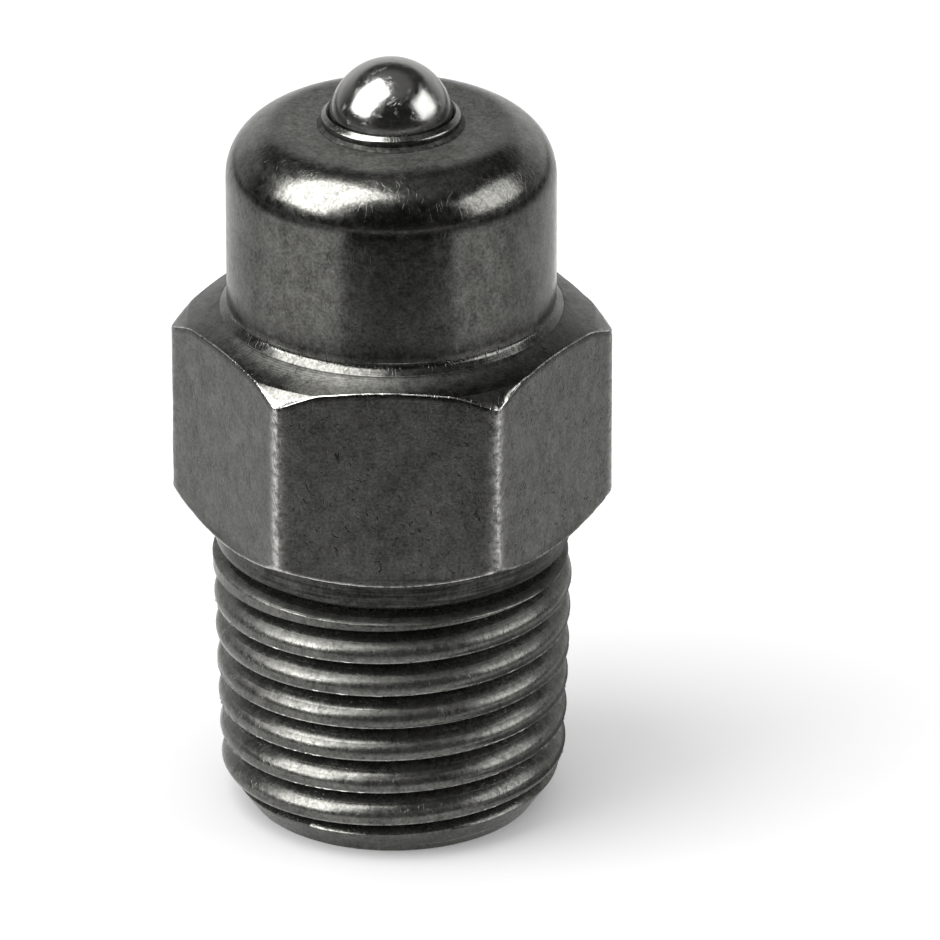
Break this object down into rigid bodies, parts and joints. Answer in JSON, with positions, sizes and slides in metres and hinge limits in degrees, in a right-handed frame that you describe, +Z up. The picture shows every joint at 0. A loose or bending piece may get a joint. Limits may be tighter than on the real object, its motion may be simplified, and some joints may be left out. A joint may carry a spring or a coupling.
{
  "type": "grease nipple",
  "caption": "Taper-thread grease nipple: button head with a rolled lip over a sprung check ball, hexagon and threaded shank with a grease outlet in its end.",
  "frame": {"origin": "on the axis, in the end face of the threaded shank", "axes": "+Z up along the axis towards the head and ball; one flat of the hexagon faces -Y and two of its corners lie on the X axis"},
  "size_m": [0.0162, 0.014, 0.0293],
  "materials": {
    "body_steel": "turned steel with a dark, blued satin surface, rubbed bright at its edges",
    "ball_steel": "ground steel, dulled grey",
    "spring_steel": "drawn spring wire"
  },
  "bodies": {
    "fitting": {"body": "body_steel", "spring": "spring_steel"},
    "check_ball": {"ball": "ball_steel"}
  },
  "joints": [
    {"name": "ball_press", "type": "slide", "parent": "fitting", "child": "check_ball", "axis": [0, 0, -1], "range_m": [0, 0.001], "stiffness_N_per_m": 800, "springref_m": -0.0015, "deforming": ["spring"]}
  ]
}
